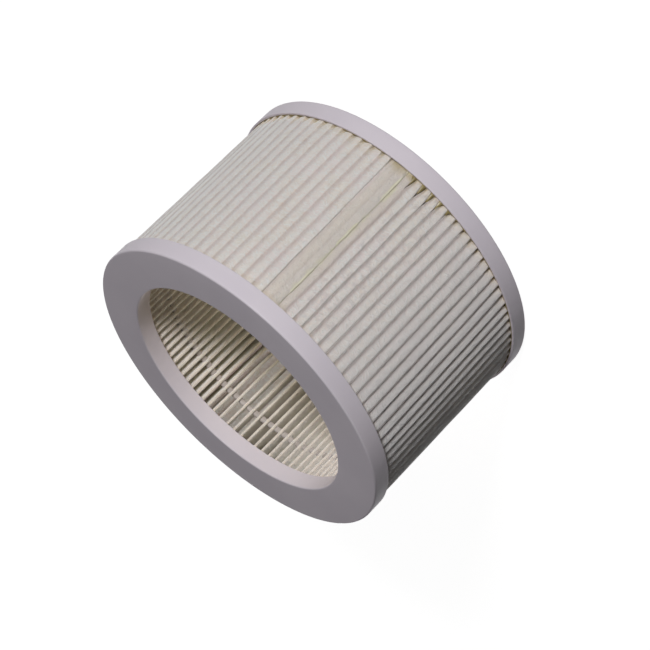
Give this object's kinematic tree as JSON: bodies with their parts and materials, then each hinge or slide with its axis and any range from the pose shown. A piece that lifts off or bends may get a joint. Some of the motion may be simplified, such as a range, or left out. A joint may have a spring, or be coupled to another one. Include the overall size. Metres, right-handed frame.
{
  "type": "air purifier filter",
  "caption": "Round pleated cartridge filter with an open bore: a folded sheet potted between two ring-shaped end caps.",
  "frame": {"origin": "centre of the rear cap's outer face, on which the filter stands", "axes": "+Z along the filter's axis, from the rear cap to the front cap; +X and +Y are any two square directions across it"},
  "size_m": [0.18, 0.18, 0.119],
  "materials": {
    "cap_plastic": "smooth matte moulding",
    "filter_sheet": "non-woven, fibrous",
    "potting_glue": "amber, semi-gloss",
    "bead_glue": "milky white, semi-gloss"
  },
  "bodies": {
    "root": {"front_end_cap": "cap_plastic", "rear_end_cap": "cap_plastic", "pleated_media": "filter_sheet", "front_potting_glue": "potting_glue", "rear_potting_glue": "potting_glue", "seam_glue": "potting_glue", "glue_bead_front": "bead_glue", "glue_bead_middle": "bead_glue", "glue_bead_rear": "bead_glue"}
  },
  "joints": []
}
